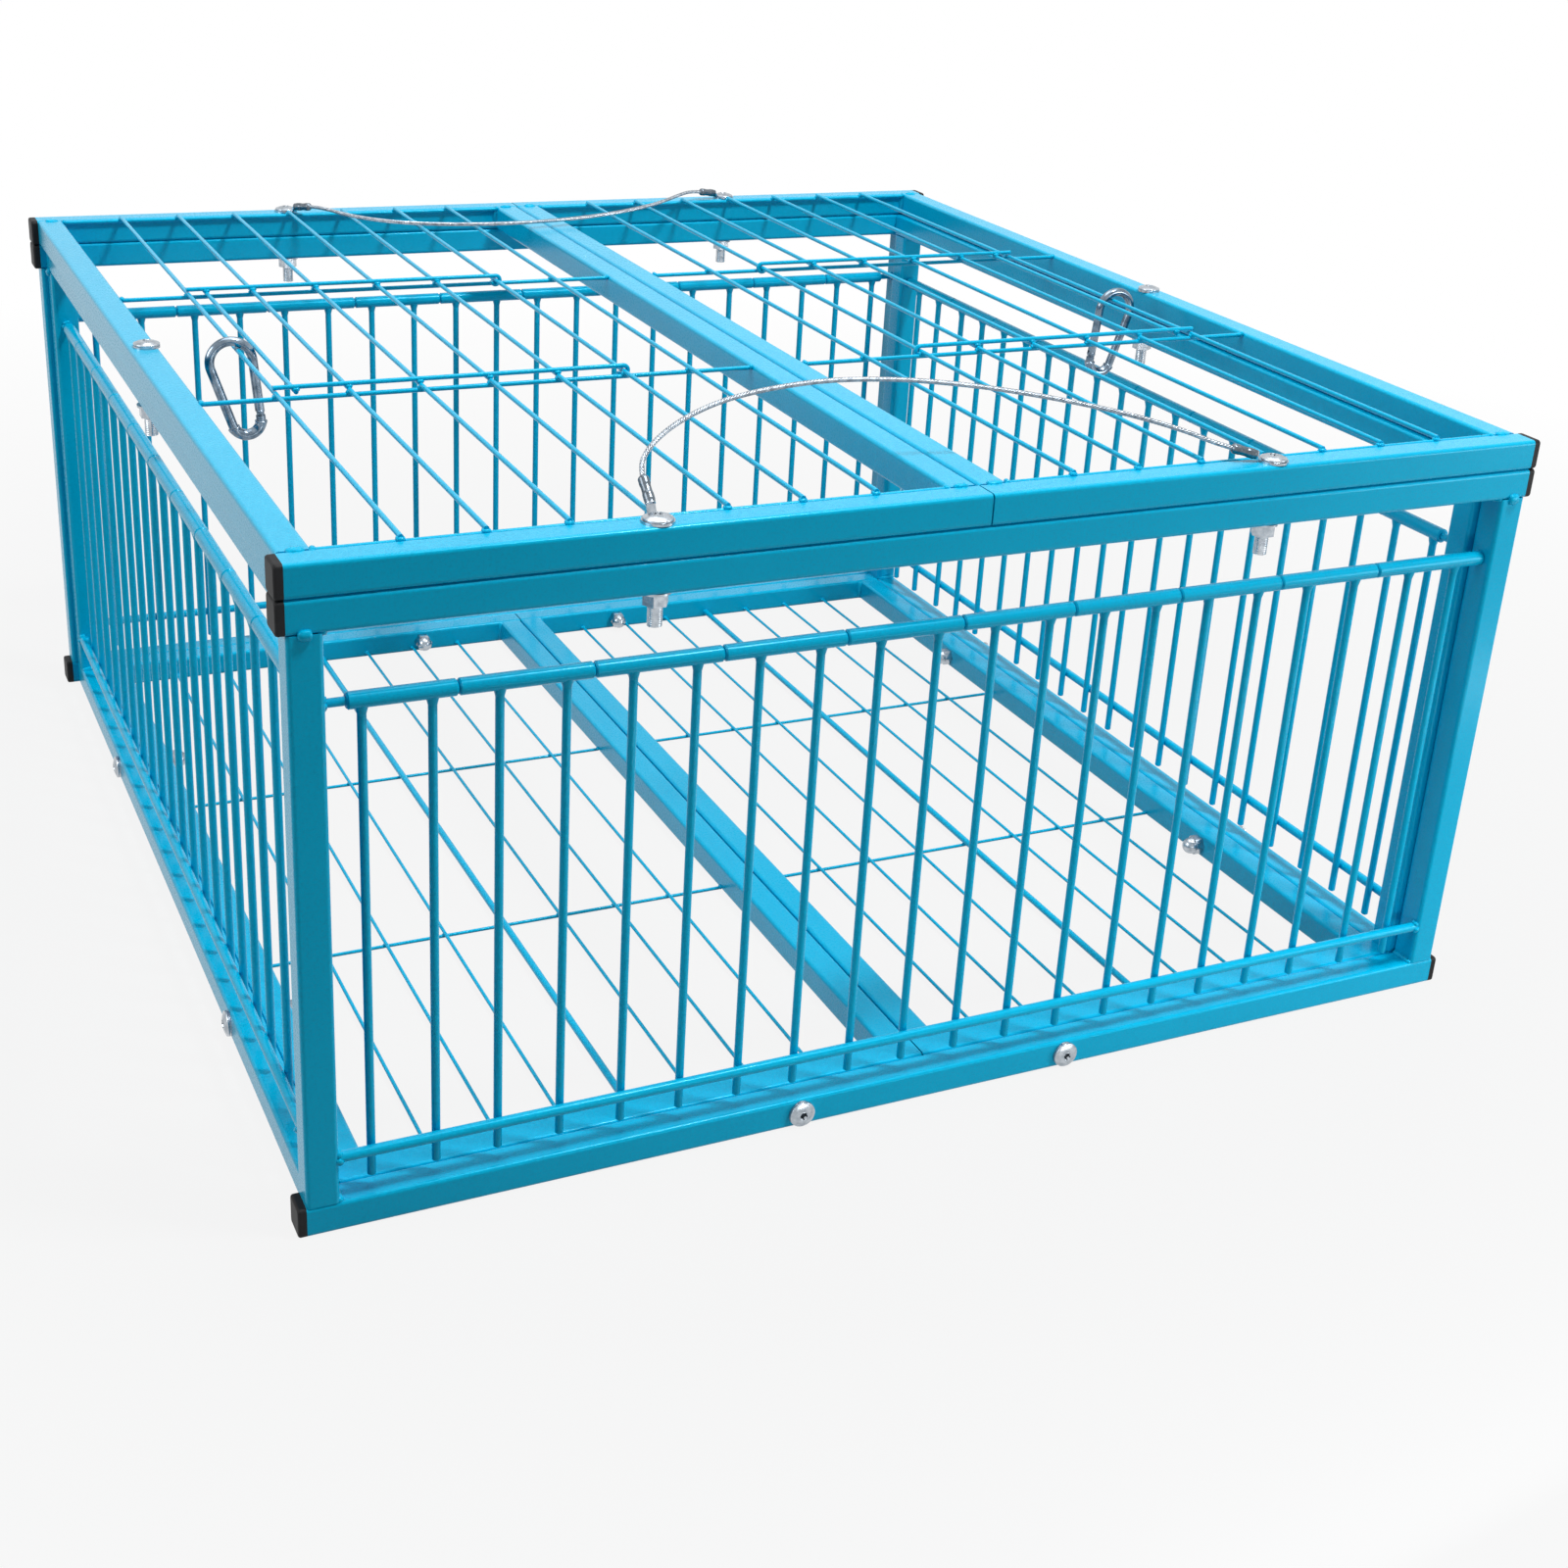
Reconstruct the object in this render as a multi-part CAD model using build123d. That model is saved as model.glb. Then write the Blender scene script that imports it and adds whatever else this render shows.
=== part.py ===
from build123d import *
import os
from math import asin, atan, cos, degrees, radians, sin, tan

# Square tube of every frame
tube = 19.0
tube_wall = 1.2
tube_corner = 2.5

# Side panels, alike on all four sides
panel_length = 800.0
panel_height = 380.0
side_inset = 4.5
seam = 0.1
centre_gap = 1.0

# Swinging bobs: a sleeve on the axle with two bars
bobs_per_side = 10
axle_drop = 42.0
axle_d = 5.0
bore_clearance = 0.06
sleeve_d = 9.5
sleeve_chamfer = 1.0
sleeve_gap = 0.5
bare_rod = 12.0
first_sleeve = 59.5
last_sleeve = 86.5
bar_d = 5.0
bar_spacing = 37.5
bar_shift = 4.0
first_bar_shift = -2.5
bar_end_height = 27.0
bar_tip = 0.6
bar_weld_d = 8.0
bar_weld_height = 6.0
bar_weld_bite = 2.4
stop_d = 6.5
stop_height = 47.0
stop_clearance = 0.3

# Wire mesh of the top and the base
wire_d = 3.0
wire_tip = 0.9
top_wires = 7
hatch_front = 133.0
door_clearance = 0.3
tip_gap = 0.6
edge_pair = 12.5
loop_turn = 260.0
base_wire_d = 2.4
base_rib_d = 4.8
base_wires = 7
base_cross = 127.0
base_wire_lift = 0.4

# Plastic end caps
cap_head = 5.0
cap_round = 1.6
cap_plug = 10.0
cap_fit = 0.2

# Bolts, nuts and washers
bolt_d = 8.0
hole_clearance = 0.3
bolt_head_d = 14.5
bolt_head_h = 3.4
socket_flats = 5.0
socket_depth = 2.6
nut_flats = 13.0
nut_h = 6.8
nut_fit = 0.1
acorn_h = 14.5
acorn_base_h = 7.0
acorn_bore = 11.0
washer_d = 17.0
washer_t = 1.4
top_bolt_length = 60.0
base_bolt_length = 50.0
top_bolt_place = 200.0
base_bolt_front = 95.0
base_bolt_side = 200.0

# Rope lugs and ropes
lug_d = 18.4
lug_t = 1.4
lug_neck_w = 5.0
lug_neck_t = 1.2
lug_neck_start = 8.2
barrel_start = 10.6
barrel_d = 5.6
barrel_length = 16.0
rope_d = 3.0
rope_end_run = 12.0
rope_arc_share = 0.45

# Snap hooks and their gates
hook_wire = 6.2
hook_length = 70.0
hook_wide = 34.0
hook_narrow = 25.0
hook_hang = 40.0
hook_place = -26.0
latch_drop = 5.0
latch_gap = 0.5
pivot_rise = 5.0
pivot_d = 2.2
tongue_t = 2.0
tongue_w = 4.6
fork_clearance = 0.3

# Places that follow from the sizes above
half_length = panel_length / 2
front_plane = half_length + seam + tube / 2
post_plane = half_length - tube / 2
side_plane = post_plane - side_inset
top_height = panel_height + seam + tube
axle_height = panel_height - tube - axle_drop
inner_front = front_plane - tube / 2
inner_side = half_length - tube
inner_centre = centre_gap / 2 + tube
wire_r = wire_d / 2
x_wire_z = top_height - wire_r
y_wire_z = x_wire_z + wire_d
door_x_z = y_wire_z + wire_d + door_clearance
door_y_z = door_x_z - wire_d
wire_pitch = (inner_side - inner_centre) / (top_wires + 1)
edge_wire_y = inner_front - wire_r
stop_offset = bar_d / 2 + stop_d / 2 + stop_clearance
sleeve_pitch = (panel_length - 2 * tube - bare_rod - first_sleeve - last_sleeve) / (bobs_per_side - 2)

PANEL_PLACES = {
    "front": Pos(0, -front_plane, 0),
    "right": Pos(side_plane, 0, 0) * Rot(0, 0, 90),
    "back": Pos(0, front_plane, 0) * Rot(0, 0, 180),
    "left": Pos(-side_plane, 0, 0) * Rot(0, 0, -90),
}
# Bolts of each panel: place along it, and for the upright ones how far out of its middle
TOP_BOLTS = {
    "front": ((-top_bolt_place, 0), (top_bolt_place, 0)),
    "right": ((0, side_inset / 2),),
    "back": ((-top_bolt_place, 0), (top_bolt_place, 0)),
    "left": ((0, side_inset / 2),),
}
BASE_BOLTS = {
    "front": (-base_bolt_front, base_bolt_front),
    "right": (-base_bolt_side, base_bolt_side),
    "back": (-base_bolt_front, base_bolt_front),
    "left": (-base_bolt_side, base_bolt_side),
}


def write(name, solids):
    """Write one sub-part as a group of separate solids."""
    export_step(Compound(label=name, children=list(solids)), f"parts/{name}.step")


def mirrored(solids):
    """The right-hand copy of left-hand solids."""
    return [mirror(solid, Plane.YZ) for solid in solids]


def square_tube(length):
    """Hollow square tube along X, centred."""
    inner = tube - 2 * tube_wall
    section = RectangleRounded(tube, tube, tube_corner)
    section -= RectangleRounded(inner, inner, max(tube_corner - tube_wall, tube_wall / 4))
    return extrude(Plane.YZ * section, length / 2, both=True)


def rod(d, length):
    """Round rod along X, centred."""
    return Rot(0, 90, 0) * Cylinder(d / 2, length)


def rod_between(d, start, end):
    """Round rod from one point to another."""
    axis = Vector(*end) - Vector(*start)
    return extrude(Plane(origin=start, z_dir=axis) * Circle(d / 2), axis.length)


def bolt_hole():
    """Through hole along Z for one bolt."""
    return Cylinder(bolt_d / 2 + hole_clearance, 3 * tube)


# Panel frames with axle and stop rod, in a panel's own frame with the outside at -Y
def panel_frame(side):
    span = panel_length - 2 * tube
    top_rail = Pos(0, 0, panel_height - tube / 2) * square_tube(panel_length)
    for x, out in TOP_BOLTS[side]:
        top_rail -= Pos(x, -out, panel_height) * bolt_hole()
    bottom_rail = Pos(0, 0, tube / 2) * square_tube(panel_length)
    for x in BASE_BOLTS[side]:
        bottom_rail -= Pos(x, 0, tube / 2) * Rot(90, 0, 0) * bolt_hole()
    post = Rot(0, 90, 0) * square_tube(panel_height - 2 * tube)
    return [
        top_rail,
        bottom_rail,
        Pos(-post_plane, 0, panel_height / 2) * post,
        Pos(post_plane, 0, panel_height / 2) * post,
        Pos(0, 0, axle_height) * rod(axle_d, span),
        Pos(0, -stop_offset, stop_height) * rod(stop_d, span),
    ]


# One bob, centred on its sleeve, with the axle along X
def bob(length, shift):
    outer = rod(sleeve_d, length - sleeve_gap)
    sleeve = chamfer(outer.edges().filter_by(GeomType.CIRCLE), sleeve_chamfer)
    sleeve -= rod(axle_d + 2 * bore_clearance, length)
    drop = axle_height - bar_end_height
    bar = Pos(0, 0, -drop / 2) * Cylinder(bar_d / 2, drop)
    bar = chamfer(bar.edges().group_by(Axis.Z)[0], bar_tip)
    weld_top = bar_weld_bite - sleeve_d / 2
    weld = Pos(0, 0, weld_top - bar_weld_height / 2) * Cone(bar_d / 2, bar_weld_d / 2, bar_weld_height)
    bar = (bar + weld) - rod(sleeve_d, length)
    return [sleeve, Pos(shift - bar_spacing / 2, 0, 0) * bar, Pos(shift + bar_spacing / 2, 0, 0) * bar]


def bob_places():
    """Middle and length of each sleeve along a panel."""
    lengths = [first_sleeve] + [sleeve_pitch] * (bobs_per_side - 2) + [last_sleeve]
    start = -half_length + tube + bare_rod
    places = []
    for length in lengths:
        places.append((start + length / 2, length))
        start += length
    return places


def wire_x(number):
    """Place of one fixed top wire of the left half, counted from the outside."""
    return -inner_side + number * wire_pitch


# Left half of the top: four rails and the fixed wires
def top_frame():
    rail_length = half_length - centre_gap / 2
    rail_x = -(half_length + centre_gap / 2) / 2
    rail_z = top_height - tube / 2
    solids = []
    for y in (-front_plane, front_plane):
        rail = Pos(rail_x, y, rail_z) * square_tube(rail_length)
        solids.append(rail - Pos(-top_bolt_place, y, rail_z) * bolt_hole())
    long_rail = Rot(0, 0, 90) * square_tube(2 * (inner_front - seam))
    side_rail = Pos(-post_plane, 0, rail_z) * long_rail
    solids.append(side_rail - Pos(-side_plane - side_inset / 2, 0, rail_z) * bolt_hole())
    solids.append(Pos(-(centre_gap + tube) / 2, 0, rail_z) * long_rail)
    cross = rod(wire_d, inner_side - inner_centre)
    cross_x = -(inner_side + inner_centre) / 2
    for y in (-edge_wire_y, -hatch_front, hatch_front, edge_wire_y):
        solids.append(Pos(cross_x, y, x_wire_z) * cross)
    end_y = edge_wire_y + wire_tip
    cut_y = hatch_front - wire_tip
    for number in range(1, top_wires + 1):
        x = wire_x(number)
        runs = [(-end_y, end_y)]
        if 1 < number < top_wires - 1:
            runs = [(-end_y, -cut_y), (cut_y, end_y)]
        for start, end in runs:
            solids.append(rod_between(wire_d, (x, start, y_wire_z), (x, end, y_wire_z)))
    return solids


# Left hatch: two cross wires looped round the hinge wire, and the door's own wires
def hatch():
    tip_y = hatch_front - wire_tip - tip_gap
    cross_y = tip_y - wire_r
    hinge_x = wire_x(top_wires - 1)
    loop_r = wire_d + door_clearance
    free_x = wire_x(1) - wire_r
    solids = []
    for y in (-cross_y, cross_y):
        run = Line((free_x, y, door_x_z), (hinge_x, y, door_x_z))
        end_angle = radians(90 - loop_turn)
        mid_angle = radians(90 - loop_turn / 2)
        mid = (hinge_x + loop_r * cos(mid_angle), y, y_wire_z + loop_r * sin(mid_angle))
        end = (hinge_x + loop_r * cos(end_angle), y, y_wire_z + loop_r * sin(end_angle))
        path = Wire([run, ThreePointArc(run @ 1, mid, end)])
        section = Plane(origin=run @ 0, z_dir=run % 0) * Circle(wire_r)
        solids.append(sweep(section, path))
    places = [wire_x(1) + edge_pair] + [wire_x(number) for number in range(2, top_wires - 1)]
    for x in places:
        solids.append(rod_between(wire_d, (x, -tip_y, door_y_z), (x, tip_y, door_y_z)))
    return solids


# Left half of the base: four rails inside the panels, cross wires and long wires
def base_frame():
    outer_x = side_plane - tube / 2 - seam
    outer_y = inner_front - seam
    rail_x = -(outer_x + centre_gap / 2) / 2
    solids = []
    for y in (tube / 2 - outer_y, outer_y - tube / 2):
        rail = Pos(rail_x, y, tube / 2) * square_tube(outer_x - centre_gap / 2)
        hole = Pos(-base_bolt_front, y, tube / 2) * Rot(90, 0, 0) * bolt_hole()
        solids.append(rail - hole)
    inner_y = outer_y - tube
    long_rail = Rot(0, 0, 90) * square_tube(2 * (inner_y - seam))
    side_rail = Pos(tube / 2 - outer_x, 0, tube / 2) * long_rail
    for y in BASE_BOLTS["left"]:
        side_rail -= Pos(tube / 2 - outer_x, y, tube / 2) * Rot(0, 90, 0) * bolt_hole()
    solids.append(side_rail)
    solids.append(Pos(-(centre_gap + tube) / 2, 0, tube / 2) * long_rail)
    start_x = tube - outer_x
    span = -start_x - inner_centre
    cross_z = base_wire_lift + base_wire_d / 2
    for y in (-base_cross, base_cross):
        solids.append(Pos(start_x + span / 2, y, cross_z) * rod(base_wire_d, span))
    for number in range(1, base_wires + 1):
        d = base_rib_d if number == (base_wires + 1) / 2 else base_wire_d
        x = start_x + number * span / (base_wires + 1)
        z = cross_z + (base_wire_d + d) / 2
        solids.append(rod_between(d, (x, -inner_y, z), (x, inner_y, z)))
    return solids


# End cap on the left end of a rail, with its plug along +X
def end_cap():
    head = extrude(Plane.YZ * RectangleRounded(tube, tube, tube_corner), -cap_head)
    head = fillet(head.faces().sort_by(Axis.X)[0].edges(), cap_round)
    plug = tube - 2 * (tube_wall + cap_fit)
    return head + extrude(Plane.YZ * RectangleRounded(plug, plug, tube_wall), cap_plug)


def end_caps():
    """Caps on all open ends of the front and back rails."""
    levels = (tube / 2, panel_height - tube / 2, top_height - tube / 2)
    left = [Pos(-half_length, y, z) * end_cap() for y in (-front_plane, front_plane) for z in levels]
    return left + mirrored(left)


# Domed socket bolt along -Z, seated at Z = 0
def bolt(length):
    rim = bolt_head_d / 2
    dome_r = (rim**2 + bolt_head_h**2) / (2 * bolt_head_h)
    half_turn = asin(rim / dome_r) / 2
    middle = (dome_r * sin(half_turn), bolt_head_h - dome_r * (1 - cos(half_turn)))
    dome = ThreePointArc((rim, 0), middle, (0, bolt_head_h))
    profile = make_face([Line((0, 0), (rim, 0)), dome, Line((0, bolt_head_h), (0, 0))])
    head = revolve(Plane.XZ * profile, Axis.Z)
    socket = RegularPolygon(socket_flats / 2, 6, major_radius=False)
    head -= extrude(Plane.XY.offset(bolt_head_h - socket_depth) * socket, bolt_head_h)
    return head + Pos(0, 0, -length / 2) * Cylinder(bolt_d / 2, length)


def washer():
    """Flat washer standing on Z = 0."""
    return Pos(0, 0, washer_t / 2) * (Cylinder(washer_d / 2, washer_t) - bolt_hole())


def hex_nut():
    """Plain nut hanging under Z = 0."""
    nut = extrude(RegularPolygon(nut_flats / 2, 6, major_radius=False), -nut_h)
    return nut - Cylinder(bolt_d / 2 + nut_fit, 3 * nut_h)


def acorn_nut():
    """Domed nut under Z = 0 with a blind bore."""
    nut = extrude(RegularPolygon(nut_flats / 2, 6, major_radius=False), -acorn_base_h)
    dome_r = nut_flats / 2
    neck = acorn_h - dome_r - acorn_base_h
    nut += Pos(0, 0, -acorn_base_h - neck / 2) * Cylinder(dome_r, neck)
    nut += Pos(0, 0, dome_r - acorn_h) * Sphere(dome_r)
    nut -= Pos(0, 0, -acorn_bore / 2) * Cylinder(bolt_d / 2 + nut_fit, acorn_bore)
    return nut


# Where each bolt stands: along -Z at its seat
def top_seats(side):
    return [PANEL_PLACES[side] * Pos(x, -out, top_height) for x, out in TOP_BOLTS[side]]


def base_seats(side):
    turn = Rot(90, 0, 0)
    return [PANEL_PLACES[side] * Pos(x, -tube / 2, tube / 2) * turn for x in BASE_BOLTS[side]]


def bolts():
    solids = []
    for side in PANEL_PLACES:
        under_head = lug_t if side in ("front", "back") else washer_t
        solids += [seat * Pos(0, 0, under_head) * bolt(top_bolt_length) for seat in top_seats(side)]
        solids += [seat * Pos(0, 0, washer_t) * bolt(base_bolt_length) for seat in base_seats(side)]
    return solids


def nuts_and_washers():
    solids = []
    clamped = 2 * tube + seam
    for side in PANEL_PLACES:
        for seat in top_seats(side):
            solids.append(seat * Pos(0, 0, -clamped - washer_t) * washer())
            solids.append(seat * Pos(0, 0, -clamped - washer_t) * hex_nut())
            if side in ("left", "right"):
                solids.append(seat * washer())
        for seat in base_seats(side):
            solids.append(seat * washer())
            solids.append(seat * Pos(0, 0, -clamped) * acorn_nut())
    return solids


# Rope lugs: bolt, heading and lift in degrees, height of the barrel's start over the seat
LUGS = {
    "front_left": (-top_bolt_place, -front_plane, 90.0, 42.0, 6.2),
    "front_right": (top_bolt_place, -front_plane, 162.0, 14.0, 4.0),
    "back_left": (-top_bolt_place, front_plane, -57.0, 8.0, 5.4),
    "back_right": (top_bolt_place, front_plane, 196.0, 8.0, 5.0),
}


def barrel_line(name):
    """Start and direction of a lug's barrel."""
    x, y, heading, lift, rise = LUGS[name]
    turn, up = radians(heading), radians(lift)
    start = Vector(x + barrel_start * cos(turn), y + barrel_start * sin(turn), top_height + rise)
    return start, Vector(cos(turn) * cos(up), sin(turn) * cos(up), sin(up))


def lug(name):
    x, y, heading, _, rise = LUGS[name]
    ring = Pos(0, 0, lug_t / 2) * (Cylinder(lug_d / 2, lug_t) - bolt_hole())
    neck_line = Line((lug_neck_start, lug_t / 2), (barrel_start + lug_neck_t / 2, rise + lug_neck_t / 2))
    neck_side = trace(neck_line, lug_neck_t)
    neck = extrude(Plane.XZ * neck_side, lug_neck_w / 2, both=True)
    flat = Pos(x, y, top_height) * Rot(0, 0, heading) * (ring + neck)
    start, direction = barrel_line(name)
    return flat + rod_between(barrel_d, start, start + direction * barrel_length)


# Ropes: points in space between the lugs
FRONT_ROPE = [
    (-194, -366, 433),
    (-178, -355, 441),
    (-153, -347, 447),
    (-119, -342, 451),
    (-80, -340, 452),
    (-38, -343, 451),
    (8, -348, 447),
    (54, -355, 441),
    (92, -365, 433),
    (122, -377, 425),
    (144, -388, 417),
]
BACK_ROPE = [
    (-162, 357, 408),
    (-141, 341, 406.5),
    (-116, 328, 405.2),
    (-82, 319, 404.5),
    (-42, 316, 404.2),
    (4, 321, 404.3),
    (50, 334, 404.8),
    (90, 350, 405.8),
    (122, 368, 407),
    (145, 386, 408),
]


def rope(first, points, last):
    """Round rope from one lug's barrel to another's, with the largest arcs its runs allow."""
    start, leave = barrel_line(first)
    end, arrive = barrel_line(last)
    start += leave * barrel_length
    end += arrive * barrel_length
    route = [start, start + leave * rope_end_run] + [Vector(*p) for p in points]
    route += [end + arrive * rope_end_run, end]
    radii = []
    for before, here, after in zip(route, route[1:], route[2:]):
        shorter = min((here - before).length, (after - here).length)
        turn = (here - before).get_angle(after - here)
        radii.append(rope_arc_share * shorter / tan(radians(turn) / 2))
    path = FilletPolyline(*route, radius=radii)
    solid = sweep(Plane(origin=path @ 0, z_dir=path % 0) * Circle(rope_d / 2), path)
    runs = [(b - a).length for a, b in zip(route, route[1:])]
    section = Circle(rope_d / 2).area
    print(first, "runs", [round(r) for r in runs], "radii", [round(r) for r in radii])
    print(first, "volume", round(solid.volume), "section times length", round(section * path.length))
    return solid


# Snap hook in its own plane: X across, Y up, wide end at the origin, gate on the right limb
wide_r = (hook_wide - hook_wire) / 2
narrow_r = (hook_narrow - hook_wire) / 2
hook_span = hook_length - (hook_wide + hook_narrow) / 2
limb_lean = asin((wide_r - narrow_r) / hook_span)
limb_normal = Vector(cos(limb_lean), -sin(limb_lean))
limb_down = Vector(-sin(limb_lean), -cos(limb_lean))
limb_top = limb_normal * wide_r
limb_foot = Vector(0, -hook_span) + limb_normal * narrow_r
latch_point = limb_top + limb_down * latch_drop
pivot_point = limb_foot - limb_down * pivot_rise
tongue_r = tongue_w / 2

# The hook hangs from the first fixed wire, its weight below the wire
hang_r = wide_r - hook_wire / 2 - wire_r - door_clearance
hang_at = Vector(hang_r * sin(radians(hook_hang)), hang_r * cos(radians(hook_hang)))
hook_tilt = degrees(atan(hang_at.X / (hang_at.Y + hook_span / 2)))
hook_turn = Rot(0, -hook_tilt, 0) * Rot(90, 0, 0)
HOOK_PLACE = Pos(wire_x(1), hook_place, y_wire_z) * hook_turn * Pos(-hang_at.X, -hang_at.Y, 0)


def snap_hook():
    left_top = Vector(-limb_top.X, limb_top.Y)
    left_foot = Vector(-limb_foot.X, limb_foot.Y)
    body_end = pivot_point + limb_down * (tongue_r + fork_clearance)
    path = Wire(
        [
            Line(latch_point, limb_top),
            ThreePointArc(limb_top, (0, wide_r), left_top),
            Line(left_top, left_foot),
            ThreePointArc(left_foot, (0, -hook_span - narrow_r), limb_foot),
            Line(limb_foot, body_end),
        ]
    )
    body = sweep(Plane(origin=path @ 0, z_dir=path % 0) * Circle(hook_wire / 2), path)
    tongue_plane = Plane(origin=pivot_point, x_dir=limb_normal, z_dir=(0, 0, 1))
    reach = tongue_r + fork_clearance + tongue_w / 2
    shape = Circle(tongue_r) + Pos(0, -reach / 2) * Rectangle(tongue_w, reach)
    shape -= Circle(pivot_d / 2 + bore_clearance)
    return body + extrude(tongue_plane * shape, tongue_t / 2, both=True)


def hook_gate():
    top = latch_point + limb_down * latch_gap
    bottom = pivot_point + limb_down * tongue_r
    gate = rod_between(hook_wire, bottom, top)
    slot_plane = Plane(origin=pivot_point, x_dir=limb_normal, z_dir=(0, 0, 1))
    slot_end = tongue_r + fork_clearance
    slot = slot_plane * Rectangle(2 * hook_wire, 2 * slot_end)
    gate -= extrude(slot, tongue_t / 2 + fork_clearance, both=True)
    heel = Pos(0, -hook_wire / 2) * Rectangle(2 * hook_wire, hook_wire) - Circle(tongue_r)
    gate -= extrude(slot_plane * heel, hook_wire, both=True)
    pin_length = hook_wire / 2
    return gate + extrude(slot_plane * Circle(pivot_d / 2), pin_length, both=True)


os.makedirs("parts", exist_ok=True)

for side, place in PANEL_PLACES.items():
    write(f"{side}_panel", [place * solid for solid in panel_frame(side)])
    for number, (middle, length) in enumerate(bob_places(), 1):
        spot = place * Pos(middle, 0, axle_height)
        shift = first_bar_shift if number == 1 else bar_shift
        write(f"{side}_bob_{number:02d}", [spot * solid for solid in bob(length, shift)])

for name, solids in (
    ("top_frame", top_frame()),
    ("hatch", hatch()),
    ("base_frame", base_frame()),
    ("snap_hook", [HOOK_PLACE * snap_hook()]),
    ("hook_gate", [HOOK_PLACE * hook_gate()]),
):
    write(f"{name}_left", solids)
    write(f"{name}_right", mirrored(solids))

write("end_caps", end_caps())
write("bolts", bolts())
write("nuts_and_washers", nuts_and_washers())
write("rope_lugs", [lug(name) for name in LUGS])
write("front_rope", [rope("front_left", FRONT_ROPE, "front_right")])
write("back_rope", [rope("back_left", BACK_ROPE, "back_right")])
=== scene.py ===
import math

import bpy
import numpy as np
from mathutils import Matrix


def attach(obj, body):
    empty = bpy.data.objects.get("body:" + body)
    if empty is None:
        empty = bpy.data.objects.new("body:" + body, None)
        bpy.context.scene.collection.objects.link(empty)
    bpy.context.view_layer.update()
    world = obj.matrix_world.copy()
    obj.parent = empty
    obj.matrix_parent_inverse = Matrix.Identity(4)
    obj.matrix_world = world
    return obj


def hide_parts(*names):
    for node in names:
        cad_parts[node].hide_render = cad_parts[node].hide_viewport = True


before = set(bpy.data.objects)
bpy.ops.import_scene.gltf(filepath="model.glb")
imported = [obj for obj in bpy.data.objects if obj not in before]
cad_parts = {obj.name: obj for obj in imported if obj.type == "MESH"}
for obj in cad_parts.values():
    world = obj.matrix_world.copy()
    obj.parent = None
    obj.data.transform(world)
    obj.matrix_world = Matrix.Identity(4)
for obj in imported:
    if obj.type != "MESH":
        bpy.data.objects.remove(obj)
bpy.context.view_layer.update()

bl_info = {
    "name": "Pigeon trap dressing",
    "version": (1, 0, 0),
    "blender": (4, 5, 0),
    "location": "3D View > Sidebar > Trap",
    "description": "Coats the packed cage, lays its rope handles and adds its welds and threads",
    "category": "Object",
}

# One millimetre in scene units
MM = 0.001

# Sides of the cage: middle of each panel in mm, and the turn of its own frame about Z
PANEL_PLACES = {
    "front": (0.0, -409.6, 0.0),
    "right": (386.0, 0.0, 90.0),
    "back": (0.0, 409.6, 180.0),
    "left": (-386.0, 0.0, -90.0),
}
HALVES = {"left": 1.0, "right": -1.0}

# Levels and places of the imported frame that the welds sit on, in mm
TUBE = 19.0
TOP_LEVEL = 399.1
RAIL_UNDER = 361.0
POST_MIDDLE = 390.5
POST_INSIDE = 381.0
AXLE_LEVEL = 319.0
AXLE_RADIUS = 2.5
STOP_LEVEL = 47.0
STOP_OUT = 6.05
STOP_RADIUS = 3.25
FRONT_INSIDE = 400.1
CENTRE_INSIDE = 19.5
WIRE_PITCH = 45.1875
TOP_WIRES = 7
EDGE_WIRE = 398.6
HATCH_WIRE = 133.0
X_WIRE_LEVEL = 397.6
DOOR_CROSS = 130.0
DOOR_WELD_LEVEL = 402.4
DOOR_EDGE = 323.31
BASE_SIDE = 357.4
BASE_FRONT = 381.0
BASE_CROSS = 127.0
BASE_WIRES = 7
BASE_CROSS_LEVEL = 1.6
BASE_WELD_LEVEL = 2.8

# Weld beads: half length, half width and height of each kind, as shares of its radius
POST_BEAD = (1.3, 1.15, 0.85)
ROD_BEAD = (1.2, 0.8, 1.0)
RAIL_BEAD = (1.7, 1.0, 0.65)
WIRE_END_BEAD = (1.25, 1.0, 0.8)
CROSSING_BEAD = (1.3, 1.2, 0.85)
BASE_CROSS_BEAD = (1.2, 0.9, 0.7)
BASE_CROSSING_BEAD = (1.2, 1.0, 0.6)
BASE_END_BEAD = (1.3, 1.0, 0.8)
BASE_BEAD_SHARE = 0.85
BEAD_RIPPLE = 0.13
BEAD_LUMP = 0.10

# Strands of the ropes: length of one ring in mm, and shares by which strands and core press together
ROPE_STEP = 0.8
STRAND_SWELL = 1.06
CORE_SHARE = 0.7

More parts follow.
